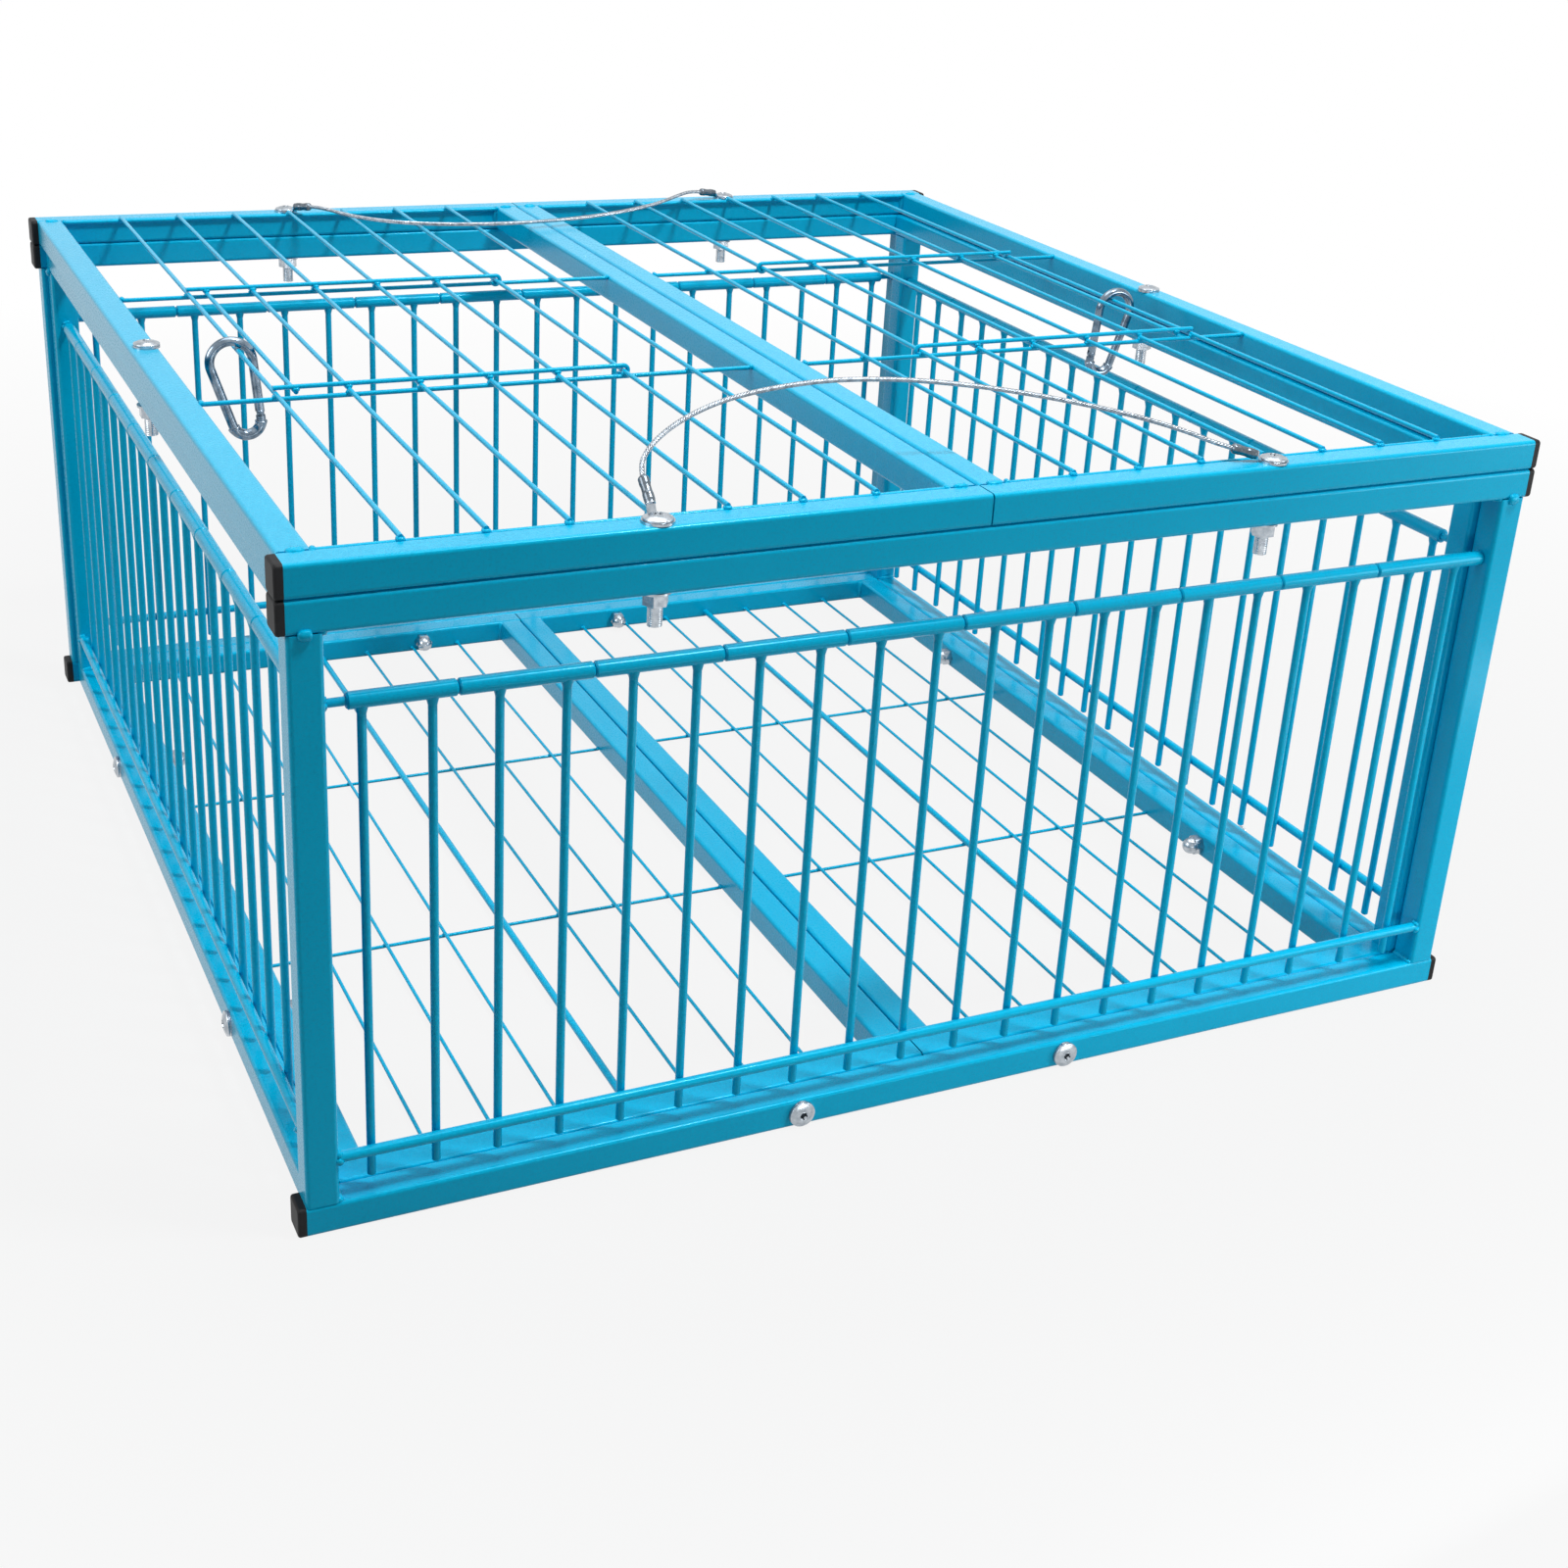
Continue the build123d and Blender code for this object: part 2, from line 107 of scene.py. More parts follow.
# Route of each rope handle in mm, from lug to lug
ROPE_ROUTES = {
    "front_rope": (
        (-200.0, -387.1, 416.0),
        (-199.5, -381.2, 421.5),
        (-192.5, -374.5, 427.5),
        (-181.0, -365.5, 432.5),
        (-162.0, -355.0, 438.0),
        (-137.0, -347.5, 443.5),
        (-104.0, -342.5, 447.0),
        (-67.0, -341.5, 448.8),
        (-27.0, -345.0, 447.5),
        (12.0, -349.5, 443.3),
        (51.0, -355.5, 437.3),
        (94.0, -366.5, 429.3),
        (126.0, -379.5, 422.3),
        (150.0, -391.0, 415.5),
        (164.1, -397.9, 409.9),
        (175.2, -401.5, 407.0),
    ),
    "back_rope": (
        (-185.6, 387.4, 406.7),
        (-179.1, 377.5, 408.2),
        (-164.0, 352.0, 406.4),
        (-143.0, 334.0, 404.9),
        (-116.0, 320.0, 404.3),
        (-82.0, 311.0, 404.2),
        (-42.0, 308.0, 404.2),
        (4.0, 313.0, 404.2),
        (50.0, 327.0, 404.4),
        (90.0, 345.0, 405.2),
        (122.0, 365.0, 406.4),
        (145.0, 385.0, 407.6),
        (163.2, 399.0, 408.0),
        (174.6, 402.3, 406.3),
    ),
}

# Barrel of each rope lug: start in mm and direction
LUG_BARRELS = (
    ((-200.0, -399.0, 405.3), (0.0, 0.743, 0.669)),
    ((189.92, -406.32, 403.1), (-0.923, 0.3, 0.242)),
    ((-194.23, 400.71, 404.5), (0.539, -0.831, 0.139)),
    ((189.81, 406.68, 404.1), (-0.952, -0.273, 0.139)),
)

# Upright bolts: place of each axis in mm, and where the thread shows under its nut
TOP_BOLTS = ((-200, -409.6), (200, -409.6), (-200, 409.6), (200, 409.6), (-388.25, 0), (388.25, 0))
BOLT_SEAT = 400.5
THREAD_TOP = 352.8
THREAD_END = 340.5
THREAD_CORE = 3.96
THREAD_DEPTH = 0.34

# Level bolts: seat of each in mm and the way its head faces
BASE_BOLTS = tuple(
    [((x, end * 420.5, TUBE / 2), (0, end, 0)) for x in (-95, 95) for end in (-1, 1)]
    + [((end * 396.9, y, TUBE / 2), (end, 0, 0)) for y in (-200, 200) for end in (-1, 1)]
)

# Button head in mm: radius, shoulder, height and radius of its cap's sphere, mouth and floor of its socket
HEAD_RADIUS = 8.4
HEAD_SHOULDER = 0.5
HEAD_HEIGHT = 3.21
HEAD_SPHERE = 18.5
SOCKET_MOUTH = 2.75
SOCKET_HALF = 2.4
SOCKET_TOP = 2.85
SOCKET_FLOOR = 1.0
# Painted shade in each socket: half flats of the dark hexagon on its floor, and the levels of its two rings,
# in mm
SOCKET_SHADE_HALF = 2.3
SOCKET_SHADE_LEVELS = (0.95, 1.15)

# Crimped sleeve in mm: ends along the barrel, radius, depth, spacing and start of the bites, how steep
# their sides are, and its mouth
CRIMP_ENDS = (0.4, 17.4)
CRIMP_RADIUS = 2.98
CRIMP_BITE = 0.14
CRIMP_SPACING = 9.5
CRIMP_FIRST = 2.0
CRIMP_STEEP = 2.2
CRIMP_MOUTH = 2.0
CRIMP_MOUTH_DROP = 1.25
CRIMP_START_RADIUS = 2.7

# Pins of the hook gates in mm, on the left side, and the hook wire's radius
HOOK_PIN = (-322.730, -26.0, 358.942)
HOOK_RADIUS = 3.1

# Narrow arc of the left hook: middle and radius in mm, and the angles in degrees that its heavy end covers
HOOK_ARC = (-331.592, -26.0, 353.041)
HOOK_ARC_RADIUS = 9.4
SHOE_ANGLES = (-2.0, -154.0)
SHOE_THICKER = 0.55
SHOE_LIP = 0.4
SHOE_LIP_SHARE = 0.07
RIVET_RADIUS = 1.9
RIVET_HEIGHT = 1.5
RIVET_SUNK = 0.5

# Metal flakes in the coat tint its gloss towards cyan
GLOSS_TINT = "#48DEFF"

# Lamps in metres: place, target, and width and height
LAMPS = {
    "top": ((0.2, 0.3, 3.0), (0.0, 0.0, 0.3), (2.6, 2.6)),
    "key": ((0.85, -1.0, 2.9), (0.0, -0.1, 0.3), (0.4, 0.4)),
    "near": ((1.0, -1.05, 0.4), (0.3, -0.4, 0.05), (0.4, 0.4)),
    "low": ((0.4, -0.8, 0.05), (0.35, -0.4, 0.0), (1.1, 0.06)),
    "fill": ((-4.2, -0.2, 2.2), (0.0, 0.0, 0.3), (2.4, 2.4)),
}

# Floor: reach from the middle in metres, cells along a side, and share of white near the cage
FLOOR_REACH = 8.0
FLOOR_CELLS = 8
FLOOR_NEAR = 0.6
FLOOR_FAR = 1.8
NEAR_WHITE = 0.88

# Camera fitted to the tube corners in the photograph
CAMERA_PLACE = (-0.62202, -1.40524, 0.77230)
CAMERA_TURN = (66.673, -3.256, -25.361)
CAMERA_SENSOR = 36.0
CAMERA_LENS = 49.708
CAMERA_SHIFT = -0.0606


def linear(code):
    """Linear colour of an sRGB hex code, with full alpha."""
    parts = [int(code[i : i + 2], 16) / 255 for i in (1, 3, 5)]
    return tuple(c / 12.92 if c <= 0.04045 else ((c + 0.055) / 1.055) ** 2.4 for c in parts) + (1.0,)


class TrapCoat(bpy.types.PropertyGroup):
    """Colour and grain of the blue coat."""

    colour: bpy.props.FloatVectorProperty(
        name="Coat colour", description="Main colour of the coat", subtype="COLOR", size=3,
        default=linear("#00B8E1")[:3], min=0, max=1,
    )
    deep: bpy.props.FloatVectorProperty(
        name="Deep colour", description="Colour in the hollows of the grain", subtype="COLOR", size=3,
        default=linear("#00A2CC")[:3], min=0, max=1,
    )
    grain: bpy.props.FloatProperty(
        name="Grain", description="Width of one grain of the coat", unit="LENGTH", default=1.6 * MM,
    )


class TrapWelds(bpy.types.PropertyGroup):
    """Sizes of the weld beads."""

    rod_bead: bpy.props.FloatProperty(
        name="Rod bead", description="Radius of the beads at rod ends", unit="LENGTH", default=2.4 * MM,
    )
    corner_bead: bpy.props.FloatProperty(
        name="Corner bead", description="Radius of the beads in rail corners", unit="LENGTH",
        default=3.0 * MM,
    )
    wire_bead: bpy.props.FloatProperty(
        name="Wire bead", description="Radius of the beads where wires cross", unit="LENGTH",
        default=2.0 * MM,
    )


class TrapRope(bpy.types.PropertyGroup):
    """Make-up of the rope handles, and pitch of the bolt threads."""

    width: bpy.props.FloatProperty(
        name="Rope width", description="Width over the strands", unit="LENGTH", default=3.0 * MM,
    )
    strands: bpy.props.IntProperty(
        name="Strands", description="Outer strands of the rope", default=6, min=3, max=9,
    )
    lay: bpy.props.FloatProperty(
        name="Lay", description="Length in which a strand goes round once", unit="LENGTH", default=13.0 * MM,
    )
    pitch: bpy.props.FloatProperty(
        name="Thread pitch", description="Distance between bolt threads", unit="LENGTH", default=1.25 * MM,
    )


class TrapStage(bpy.types.PropertyGroup):
    """Floor and light."""

    floor: bpy.props.FloatVectorProperty(
        name="Floor colour", description="Colour of the floor", subtype="COLOR", size=3,
        default=linear("#888A8B")[:3], min=0, max=1,
    )
    key: bpy.props.FloatProperty(
        name="Key light", description="Power of the key light", unit="POWER", default=56.0,
    )
    top: bpy.props.FloatProperty(
        name="Top light", description="Power of the top light", unit="POWER", default=52.0,
    )
    near: bpy.props.FloatProperty(
        name="Near light", description="Power of the near light on the right", unit="POWER", default=3.6,
    )
    low: bpy.props.FloatProperty(
        name="Low light", description="Power of the strip along the floor in front", unit="POWER",
        default=0.95,
    )
    fill: bpy.props.FloatProperty(
        name="Fill light", description="Power of the side light", unit="POWER", default=80.0,
    )
    sky: bpy.props.FloatProperty(name="Sky", description="Strength of the light from all round", default=0.07)


def closed_tubes(copies, rings, sides):
    """Faces of closed tubes: quads between neighbouring rings and a triangle fan at both ends."""
    turn = np.arange(sides)
    after = (turn + 1) % sides
    row = np.arange(rings - 1)[:, None] * sides
    quads = np.stack([row + turn, row + after, row + sides + after, row + sides + turn], -1).reshape(-1, 4)
    first = np.full(sides, rings * sides)
    last_row = (rings - 1) * sides
    fans = np.concatenate(
        [np.stack([first, after, turn], -1), np.stack([first + 1, last_row + turn, last_row + after], -1)]
    )
    start = (np.arange(copies) * (rings * sides + 2))[:, None, None]
    return (quads + start).reshape(-1, 4).tolist() + (fans + start).reshape(-1, 3).tolist()


def add_piece(name, rings, ends, material, body, slot):
    """Make one smooth piece from rings of points, shaped copies, rings, sides, 3, and their end points."""
    copies, count, sides, _ = rings.shape
    points = np.concatenate([rings.reshape(copies, count * sides, 3), ends], 1).reshape(-1, 3)
    mesh = bpy.data.meshes.new(name)
    mesh.from_pydata(points.tolist(), [], closed_tubes(copies, count, sides))
    mesh.shade_smooth()
    mesh.materials.append(material)
    piece = bpy.data.objects.new(name, mesh)
    bpy.context.scene.collection.objects.link(piece)
    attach(piece, body)
    return piece


def unit(vectors):
    """Vectors scaled to length one."""
    return vectors / np.linalg.norm(vectors, axis=-1, keepdims=True)


def add_node(tree, kind, inputs=None, **settings):
    """Add one node; inputs are socket values or links, settings are the node's own values."""
    node = tree.nodes.new(kind)
    for name, value in settings.items():
        setattr(node, name, value)
    for name, value in (inputs or {}).items():
        if isinstance(value, bpy.types.NodeSocket):
            tree.links.new(value, node.inputs[name])
        else:
            node.inputs[name].default_value = value
    return node


def new_material(name):
    """Empty node material and its tree."""
    material = bpy.data.materials.new(name)
    material.use_nodes = True
    material.node_tree.nodes.clear()
    return material, material.node_tree


# Powder-coated steel: sprayed blue with metal in it, satin, a fine pebbled grain and a clear glossy skin
def blue_coat(coat):
    material, tree = new_material("powder_coated_steel_blue")
    place = add_node(tree, "ShaderNodeTexCoord").outputs["Object"]
    # Real coats pebble at about 1 mm; drawn a little coarser so that it shows
    grain = add_node(tree, "ShaderNodeTexNoise", {"Vector": place, "Scale": 1 / coat.grain, "Detail": 2.0})
    # Spray clouds about 80 mm wide
    cloud = add_node(tree, "ShaderNodeTexNoise", {"Vector": place, "Scale": 1 / (80 * MM), "Detail": 2.0})
    spread = add_node(tree, "ShaderNodeMapRange", {0: grain.outputs[0], 1: 0.3, 2: 0.7, 3: 0.0, 4: 1.0})
    thick = add_node(tree, "ShaderNodeMapRange", {0: cloud.outputs[0], 1: 0.3, 2: 0.7, 3: 0.0, 4: 0.4})
    deep, main = (*coat.deep, 1.0), (*coat.colour, 1.0)
    pebbled = add_node(tree, "ShaderNodeMix", {0: spread.outputs[0], 6: deep, 7: main}, data_type="RGBA")
    sprayed = add_node(
        tree, "ShaderNodeMix", {0: thick.outputs[0], 6: pebbled.outputs[2], 7: main}, data_type="RGBA"
    )
    rough = add_node(tree, "ShaderNodeMapRange", {0: grain.outputs[0], 1: 0.3, 2: 0.7, 3: 0.36, 4: 0.22})
    # Orange peel about 3 mm from crest to crest
    peel = add_node(tree, "ShaderNodeTexNoise", {"Vector": place, "Scale": 1 / (3 * MM), "Detail": 1.0})
    bump = add_node(
        tree, "ShaderNodeBump", {"Strength": 0.12, "Distance": 0.3 * MM, "Height": peel.outputs[0]}
    )
    shader = add_node(
        tree,
        "ShaderNodeBsdfPrincipled",
        {
            "Base Color": sprayed.outputs[2],
            "Roughness": rough.outputs[0],
            "Normal": bump.outputs[0],
            "IOR": 1.4,
            "Specular Tint": linear(GLOSS_TINT),
            "Coat Weight": 0.08,
            "Coat Roughness": 0.12,
            "Coat IOR": 1.5,
        },
    )
    add_node(tree, "ShaderNodeOutputMaterial", {"Surface": shader.outputs[0]})
    return material


# Galvanised and drawn steel: bright grey metal with a cloudy crystal tone and fine scuffs
def bare_steel(name, light, dark, gloss, crystal, scuff):
    material, tree = new_material(name)
    place = add_node(tree, "ShaderNodeTexCoord").outputs["Object"]
    cloud = add_node(tree, "ShaderNodeTexNoise", {"Vector": place, "Scale": 1 / crystal, "Detail": 4.0})
    fine = add_node(tree, "ShaderNodeTexNoise", {"Vector": place, "Scale": 1 / scuff, "Detail": 3.0})
    tone = add_node(tree, "ShaderNodeMapRange", {0: cloud.outputs[0], 1: 0.35, 2: 0.65, 3: 0.0, 4: 1.0})
    colour = add_node(
        tree, "ShaderNodeMix", {0: tone.outputs[0], 6: linear(dark), 7: linear(light)}, data_type="RGBA"
    )
    rough = add_node(
        tree, "ShaderNodeMapRange", {0: fine.outputs[0], 1: 0.3, 2: 0.7, 3: gloss, 4: gloss + 0.1}
    )
    bump = add_node(
        tree, "ShaderNodeBump", {"Strength": 0.08, "Distance": 0.1 * MM, "Height": fine.outputs[0]}
    )
    shader = add_node(
        tree,
        "ShaderNodeBsdfPrincipled",
        {
            "Base Color": colour.outputs[2],
            "Roughness": rough.outputs[0],
            "Normal": bump.outputs[0],
            "Metallic": 1.0,
        },
    )
    add_node(tree, "ShaderNodeOutputMaterial", {"Surface": shader.outputs[0]})
    return material


# Moulded polyethylene: near black with a fine spark-eroded grain and greyish scuffs
def black_plastic():
    material, tree = new_material("moulded_polyethylene_black")
    place = add_node(tree, "ShaderNodeTexCoord").outputs["Object"]
    grain = add_node(tree, "ShaderNodeTexNoise", {"Vector": place, "Scale": 1 / (0.9 * MM), "Detail": 3.0})
    scuff = add_node(tree, "ShaderNodeTexNoise", {"Vector": place, "Scale": 1 / (7 * MM), "Detail": 5.0})
    worn = add_node(tree, "ShaderNodeMapRange", {0: scuff.outputs[0], 1: 0.45, 2: 0.75, 3: 0.0, 4: 1.0})
    colour = add_node(
        tree,
        "ShaderNodeMix",
        {0: worn.outputs[0], 6: linear("#08090C"), 7: linear("#191B1E")},
        data_type="RGBA",
    )
    bump = add_node(
        tree, "ShaderNodeBump", {"Strength": 0.3, "Distance": 0.1 * MM, "Height": grain.outputs[0]}
    )
    shader = add_node(
        tree,
        "ShaderNodeBsdfPrincipled",
        {"Base Color": colour.outputs[2], "Roughness": 0.55, "IOR": 1.3, "Normal": bump.outputs[0]},
    )
    add_node(tree, "ShaderNodeOutputMaterial", {"Surface": shader.outputs[0]})
    return material


def finish_named(name):
    """A finish made by an earlier operator."""
    material = bpy.data.materials.get(name)
    if material is None:
        raise RuntimeError(f"{name} is missing: run the coat and hardware operators first")
    return material


def dress(names, material):
    """Put one finish on all slots of these nodes of the frame."""
    for name in names:
        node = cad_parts[name]
        if not node.material_slots:
            node.data.materials.append(material)
        for slot in node.material_slots:
            slot.material = material


class TRAP_OT_coat(bpy.types.Operator):
    """Coat the panels, bobs, hatches, top and base in blue"""

    bl_idname = "trap.coat"
    bl_label = "Coat the cage"

    def execute(self, context):
        coated = ("_panel", "_bob_", "top_frame", "base_frame", "hatch_")
        names = [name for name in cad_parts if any(part in name for part in coated)]
        dress(names, blue_coat(context.scene.trap_coat))
        return {"FINISHED"}


class TRAP_OT_hardware(bpy.types.Operator):
    """Give the bolts, lugs, hooks and caps their finishes"""

    bl_idname = "trap.hardware"
    bl_label = "Finish the hardware"

    def execute(self, context):
        zinc = bare_steel("zinc_plated_steel", "#BEC5CC", "#9BA4AC", 0.16, 4 * MM, 0.8 * MM)
        dress(("bolts", "nuts_and_washers", "rope_lugs"), zinc)
        # The hook's steel is tinted blue and darkened: a painted reflection of the blue cage round it
        hook = bare_steel("tumbled_steel_hook", "#8E9DAB", "#5F6E7C", 0.13, 6 * MM, 1.2 * MM)
        dress([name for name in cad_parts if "hook" in name], hook)
        bare_steel("drawn_steel_wire", "#AEB6BE", "#828A92", 0.18, 3 * MM, 0.7 * MM)
        dress(("end_caps",), black_plastic())
        return {"FINISHED"}


def spline_points(route):
    """Points along the smooth spline that has the route as its control points."""
    curve = bpy.data.curves.new("route", "CURVE")
    curve.dimensions = "3D"
    curve.resolution_u = 24
    spline = curve.splines.new("NURBS")
    spline.points.add(len(route) - 1)
    control = np.concatenate([np.array(route) * MM, np.ones((len(route), 1))], 1)
    spline.points.foreach_set("co", control.ravel())
    spline.order_u = 3
    spline.use_endpoint_u = True
    carrier = bpy.data.objects.new("route", curve)
    bpy.context.scene.collection.objects.link(carrier)
    mesh = bpy.data.meshes.new_from_object(carrier)
    points = np.empty(len(mesh.vertices) * 3)
    mesh.vertices.foreach_get("co", points)
    bpy.data.meshes.remove(mesh)
    bpy.data.objects.remove(carrier)
    bpy.data.curves.remove(curve)
    return points.reshape(-1, 3)


def rope_surface(line, width, strands, lay):
    """Rings of a rope: a core strand on the line, and outer strands that wind round it.

    An outer strand's middle is the line's point plus its winding radius along a direction that turns
    once in a lay; each ring is a circle round that middle, square to the strand.
    """
    step = np.linalg.norm(np.diff(line, axis=0), axis=1)
    run = np.concatenate([[0], np.cumsum(step)])
    even = np.linspace(0, run[-1], int(run[-1] / (ROPE_STEP * MM)))
    middle = np.stack([np.interp(even, run, line[:, axis]) for axis in range(3)], -1)
    along = unit(np.gradient(middle, axis=0))
    side = unit(np.cross(along, (0, 0, 1)))
    over = np.cross(side, along)
    strand_r = width / 2 / (1 + 1 / math.sin(math.pi / strands)) * STRAND_SWELL
    winding_r = width / 2 - strand_r
    first = np.arange(strands)[:, None] * 2 * math.pi / strands
    angle = first + 2 * math.pi * even / lay
    out = np.cos(angle)[..., None] * side + np.sin(angle)[..., None] * over
    centres = np.concatenate([middle[None], middle + winding_r * out])
    radii = np.array([winding_r - CORE_SHARE * strand_r] + [strand_r] * strands)
    outward = np.concatenate([side[None], out])
    strand_along = unit(np.gradient(centres, axis=1))
    outward = unit(outward - (outward * strand_along).sum(-1, keepdims=True) * strand_along)
    across = np.cross(strand_along, outward)
    turn = np.linspace(0, 2 * math.pi, 8, endpoint=False)
    circle = np.cos(turn)[:, None] * outward[:, :, None] + np.sin(turn)[:, None] * across[:, :, None]
    rings = centres[:, :, None] + radii[:, None, None, None] * circle
    return rings, centres[:, [0, -1]], middle, run[-1]


class TRAP_OT_ropes(bpy.types.Operator):
    """Lay the two twisted rope handles from lug to lug"""

    bl_idname = "trap.ropes"
    bl_label = "Lay the ropes"

    def execute(self, context):
        rope = context.scene.trap_rope
        steel = finish_named("drawn_steel_wire")
        for name, route in ROPE_ROUTES.items():
            line = spline_points(route)
            rings, ends, middle, length = rope_surface(line, rope.width, rope.strands, rope.lay)
            piece = add_piece(f"{name}_strands", rings, ends, steel, "frame", "rope_steel")
            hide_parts(name)
        return {"FINISHED"}


def beads(spots, seed):
    """Rings of weld beads: lumps along an axis that swell out of a corner.

    Each spot is middle, axis, facing, half length, half width and height. Along the axis t from -1 to 1
    the radius is the root of 1 - |t| to the fourth, times a ripple; round the axis it is an ellipse.
    """
    middle, axis, facing, size = (np.array([spot[i] for spot in spots], float) for i in range(4))
    draw = np.random.default_rng(seed)
    axis = unit(axis)
    facing = unit(facing - (facing * axis).sum(-1, keepdims=True) * axis)
    across = np.cross(facing, axis)
    along = np.sin(np.linspace(-1, 1, 9)[1:-1] * math.pi / 2)
    turn = np.linspace(0, 2 * math.pi, 8, endpoint=False)
    count = len(spots)
    phase = draw.uniform(0, 2 * math.pi, (count, 2))
    swell = np.sqrt(1 - along**4)
    ripple = 1 + BEAD_RIPPLE * np.sin(2.5 * math.pi * along + phase[:, :1])
    lump = 1 + BEAD_LUMP * np.sin(2 * turn + phase[:, 1:])
    radius = (swell * ripple)[:, :, None] * lump[:, None, :]
    wide = radius * np.cos(turn) * size[:, 1, None, None]
    high = radius * np.sin(turn) * size[:, 2, None, None]
    reach = along[None, :] * size[:, :1]
    rings = (
        middle[:, None, None]
        + reach[:, :, None, None] * axis[:, None, None]
        + wide[..., None] * across[:, None, None]
        + high[..., None] * facing[:, None, None]
    )
    tip = size[:, :1] * axis
    ends = np.stack([middle - tip, middle + tip], 1)
    return rings * MM, ends * MM


def sized(shape, radius):
    """Half length, half width and height of a bead of one kind and radius."""
    return tuple(share * radius for share in shape)


def turned(place, point):
    """A point or direction of a panel's own frame, turned and moved to the panel's place."""
    x, y, turn = place
    angle = math.radians(turn)
    px, py, pz = point
    return (
        x + px * math.cos(angle) - py * math.sin(angle),
        y + px * math.sin(angle) + py * math.cos(angle),
        pz,
    )


def panel_spots(place, rod, corner):
    """Beads of one side panel: post tops, post corners, and the ends of the stop rod and axle."""
    spin = (0.0, 0.0, place[2])
    spots = []

    def put(point, axis, facing, size):
        spots.append((turned(place, point), turned(spin, axis), turned(spin, facing), size))

    for end in (-1, 1):
        put((end * POST_MIDDLE, -TUBE / 2, RAIL_UNDER), (1, 0, 0), (0, -1, 0), sized(POST_BEAD, corner))
        for level, up in ((RAIL_UNDER, -1), (TUBE, 1)):
            seam = (TUBE / 2 - 0.6, 0.8 * corner, corner)
            put((end * POST_INSIDE, 0, level), (0, 1, 0), (-end, 0, up), seam)
        for level, out, radius in ((STOP_LEVEL, STOP_OUT, STOP_RADIUS), (AXLE_LEVEL, 0.0, AXLE_RADIUS)):
            for turn in (80, 200, 320):
                away = (0, -math.cos(math.radians(turn)), math.sin(math.radians(turn)))
                across = (0, away[2], -away[1])
                rim = 0.8 * radius
                spot = (end * (POST_INSIDE - 0.3), -out + rim * away[1], level + rim * away[2])
                put(spot, across, (-end, away[1], away[2]), sized(ROD_BEAD, rod))
    return spots


def top_spots(half, corner, wire):
    """Beads of one half of the top: in and on the rail corners, and at each wire end and crossing."""
    spots = []
    upright = TUBE / 2 - 0.4
    for x, inward in ((-POST_INSIDE, 1), (-CENTRE_INSIDE, -1)):
        for end in (-1, 1):
            spot = (half * x, end * FRONT_INSIDE, TOP_LEVEL - TUBE / 2 + 0.7)
            spots.append((spot, (0, 0, 1), (half * inward, -end, 0), (upright, corner, corner)))
            spot = (half * (x - 8.5 * inward), end * (FRONT_INSIDE - 0.3), TOP_LEVEL - 0.3)
            spots.append((spot, (1, 0, 0), (0, 0, 1), sized(RAIL_BEAD, corner)))
        for y in (-EDGE_WIRE, -HATCH_WIRE, HATCH_WIRE, EDGE_WIRE):
            spot = (half * (x + 0.6 * inward), y, X_WIRE_LEVEL + 0.7)
            spots.append((spot, (0, 1, 0), (half * inward, 0, 1), sized(WIRE_END_BEAD, wire)))
    for number in range(1, TOP_WIRES + 1):
        x = half * (number * WIRE_PITCH - POST_INSIDE)
        for y in (-EDGE_WIRE, -HATCH_WIRE, HATCH_WIRE, EDGE_WIRE):
            spots.append(((x, y, TOP_LEVEL), (1, 0, 0), (0, 0, 1), sized(CROSSING_BEAD, wire)))
    return spots


def hatch_spots(half, wire):
    """Beads of one hatch, where its wires cross."""
    places = [-DOOR_EDGE] + [number * WIRE_PITCH - POST_INSIDE for number in range(2, TOP_WIRES - 1)]
    return [
        ((half * x, y, DOOR_WELD_LEVEL), (1, 0, 0), (0, 0, 1), sized(CROSSING_BEAD, wire))
        for x in places
        for y in (-DOOR_CROSS, DOOR_CROSS)
    ]


def base_spots(half, corner, wire):
    """Beads of one half of the base: rail corners, wire crossings and wire ends."""
    spots = []
    for x, inward in ((-BASE_SIDE, 1), (-CENTRE_INSIDE, -1)):
        for end in (-1, 1):
            spot = (half * x, end * BASE_FRONT, TUBE / 2)
            spots.append((spot, (0, 0, 1), (half * inward, -end, 0), (TUBE / 2 - 0.6, corner, corner)))
            spot = (half * (x + 0.5 * inward), end * BASE_CROSS, BASE_CROSS_LEVEL + 0.6)
            spots.append((spot, (0, 1, 0), (half * inward, 0, 1), sized(BASE_CROSS_BEAD, wire)))
    span = BASE_SIDE - CENTRE_INSIDE
    for number in range(1, BASE_WIRES + 1):
        x = half * (number * span / (BASE_WIRES + 1) - BASE_SIDE)
        for y in (-BASE_CROSS, BASE_CROSS):
            spots.append(((x, y, BASE_WELD_LEVEL), (1, 0, 0), (0, 0, 1), sized(BASE_CROSSING_BEAD, wire)))
        for end in (-1, 1):
            spot = (x, end * (BASE_FRONT - 0.5), BASE_WELD_LEVEL + 1.2)
            spots.append((spot, (1, 0, 0), (0, -end, 1), sized(BASE_END_BEAD, wire)))
    return spots


